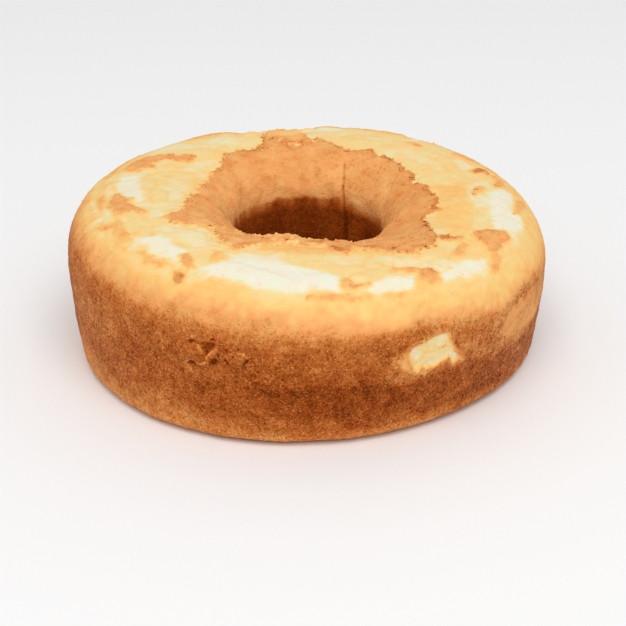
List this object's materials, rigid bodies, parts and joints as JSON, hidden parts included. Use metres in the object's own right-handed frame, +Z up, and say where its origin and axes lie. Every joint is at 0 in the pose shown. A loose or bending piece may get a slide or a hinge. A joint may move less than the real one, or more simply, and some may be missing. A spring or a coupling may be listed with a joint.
{
  "type": "angel food cake",
  "caption": "Ring of angel food cake with browned sides, a torn pale top and a funnel-shaped hole through its middle, standing on a wide flat base.",
  "frame": {"origin": "middle of the base's box at table level", "axes": "+Z up through the hole, from the flat base to the torn top; -Y is the front, the side with the torn patch and the folds"},
  "size_m": [0.2104, 0.2114, 0.0703],
  "materials": {
    "browned_crust": "matte browned sponge crust, golden at the shoulder and dark brown on the side"
  },
  "bodies": {
    "root": {"angel_food_cake": "browned_crust"}
  },
  "joints": []
}
